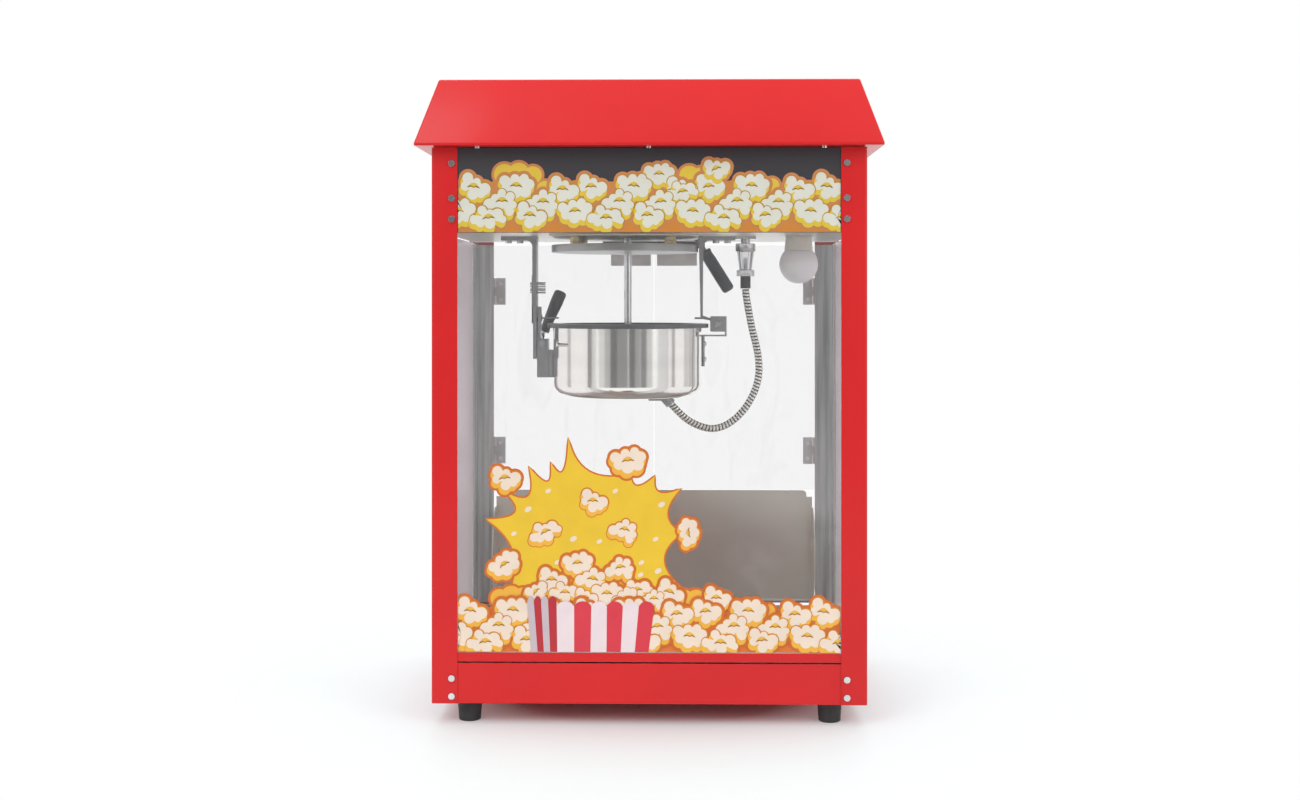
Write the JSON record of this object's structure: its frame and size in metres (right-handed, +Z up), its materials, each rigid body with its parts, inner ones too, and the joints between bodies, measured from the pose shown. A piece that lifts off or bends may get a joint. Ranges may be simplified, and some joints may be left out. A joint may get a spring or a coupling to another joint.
{
  "type": "popcorn maker",
  "caption": "Countertop popcorn machine: red hip-roofed cabinet with clear panes, a hanging stirred kettle, rear doors, serving flap and kernel drawer.",
  "frame": {"origin": "on the surface it stands on, under the middle of the roof's outline", "axes": "+Z up, +Y towards the operator's side at the back, +X to the right seen from the front"},
  "size_m": [0.554, 0.417, 0.7685],
  "materials": {
    "red_paint": "gloss red enamel",
    "stainless": "polished stainless sheet",
    "bright_steel": "plated steel",
    "galvanised": "galvanised sheet",
    "bracket_grey": "grey coated steel",
    "clear_pane": "clear pane",
    "side_glass": "clear pane",
    "black_panel": "black printed panel",
    "black_plastic": "black moulded plastic",
    "brass": "brass",
    "foot_rubber": "black rubber",
    "pan_coating": "dark non-stick coating on aluminium",
    "ceramic_white": "cream insulating body",
    "lamp_white": "white diffuser",
    "red_plastic": "red rocker"
  },
  "bodies": {
    "cabinet": {"base_pan": "red_paint", "deck_plate": "stainless", "front_rail": "red_paint", "corner_posts": "red_paint", "post_liners": "galvanised", "left_side_pane": "side_glass", "right_side_pane": "side_glass", "front_pane": "clear_pane", "header_panel": "black_panel", "header_shroud": "red_paint", "roof_cover": "red_paint", "ceiling_plate": "stainless", "hanger_plate": "stainless", "splash_disc": "stainless", "disc_standoffs": "brass", "left_hanger": "bracket_grey", "right_hanger": "bracket_grey", "detent_spring": "black_plastic", "connector_socket": "bright_steel", "connector_plug": "bright_steel", "connector_boot": "foot_rubber", "lamp_holder": "ceramic_white", "lamp_body": "ceramic_white", "lamp_globe": "lamp_white", "motor_bridge": "galvanised", "gear_motor": "black_plastic", "lever_bracket": "galvanised", "terminal_block": "ceramic_white", "switch_housings": "black_plastic", "mains_gland": "black_plastic", "feet": "foot_rubber", "cabinet_screws": "bright_steel", "hinge_post_halves": "brass", "flap_pin": "bright_steel", "magnet_bar": "black_plastic", "heater_hose": "bright_steel"},
    "kettle": {"kettle_shell": "stainless", "kettle_pan": "pan_coating", "kettle_heater": "bracket_grey", "kettle_left_arm": "bracket_grey", "kettle_right_arm": "bracket_grey", "kettle_fasteners": "bright_steel", "kettle_gland": "bracket_grey", "tilt_handle_rod": "bright_steel", "tilt_handle_grip": "black_plastic"},
    "stirrer_lift": {"lift_yoke": "brass"},
    "stirrer": {"stir_shaft": "bright_steel", "stir_blades": "stainless"},
    "drive": {"drive_hub": "brass"},
    "lever": {"lift_lever": "bracket_grey", "lift_grip": "black_plastic"},
    "left_door": {"left_door_pane": "clear_pane", "left_door_hardware": "stainless"},
    "right_door": {"right_door_pane": "clear_pane", "right_door_hardware": "stainless"},
    "flap": {"serving_flap": "stainless"},
    "power_switch": {"power_rocker": "red_plastic"},
    "heat_switch": {"heat_rocker": "black_plastic"},
    "stir_switch": {"stir_rocker": "black_plastic"},
    "drawer": {"kernel_drawer": "stainless"}
  },
  "joints": [
    {"name": "kettle_swing", "type": "hinge", "parent": "cabinet", "child": "kettle", "pos_m": [0.086, 0, 0.474], "axis": [0, -1, 0], "range_deg": [0, 68], "deforming": ["heater_hose"]},
    {"name": "lift_lever_turn", "type": "hinge", "parent": "cabinet", "child": "lever", "pos_m": [0.0496, 0.052, 0.603], "axis": [0, 1, 0], "range_deg": [0, 12]},
    {"name": "stirrer_lift", "type": "slide", "parent": "cabinet", "child": "stirrer_lift", "axis": [0, 0, 1], "range_m": [0, 0.0169]},
    {"name": "stirrer_spin", "type": "hinge", "parent": "stirrer_lift", "child": "stirrer", "pos_m": [-0.031, 0, 0.45], "axis": [0, 0, 1], "continuous": true},
    {"name": "drive_spin", "type": "hinge", "parent": "cabinet", "child": "drive", "pos_m": [-0.031, 0, 0.65], "axis": [0, 0, 1], "continuous": true},
    {"name": "left_door_swing", "type": "hinge", "parent": "cabinet", "child": "left_door", "pos_m": [-0.228, 0.1904, 0.41], "axis": [0, 0, 1], "range_deg": [0, 165]},
    {"name": "right_door_swing", "type": "hinge", "parent": "cabinet", "child": "right_door", "pos_m": [0.228, 0.1904, 0.41], "axis": [0, 0, -1], "range_deg": [0, 165]},
    {"name": "flap_tilt", "type": "hinge", "parent": "cabinet", "child": "flap", "pos_m": [0, 0.1847, 0.08], "axis": [-1, 0, 0], "range_deg": [0, 40]},
    {"name": "power_switch_rock", "type": "hinge", "parent": "cabinet", "child": "power_switch", "pos_m": [-0.06, 0.1862, 0.64], "axis": [-1, 0, 0], "range_deg": [0, 14]},
    {"name": "heat_switch_rock", "type": "hinge", "parent": "cabinet", "child": "heat_switch", "pos_m": [0, 0.1862, 0.64], "axis": [-1, 0, 0], "range_deg": [0, 14]},
    {"name": "stir_switch_rock", "type": "hinge", "parent": "cabinet", "child": "stir_switch", "pos_m": [0.06, 0.1862, 0.64], "axis": [-1, 0, 0], "range_deg": [0, 14]},
    {"name": "drawer_slide", "type": "slide", "parent": "cabinet", "child": "drawer", "axis": [0, 1, 0], "range_m": [0, 0.25]}
  ],
  "couplings": [
    {"joint": "stirrer_lift", "follows": "lift_lever_turn", "m_per_rad": 0.0806},
    {"joint": "drive_spin", "follows": "stirrer_spin", "ratio": 1}
  ]
}
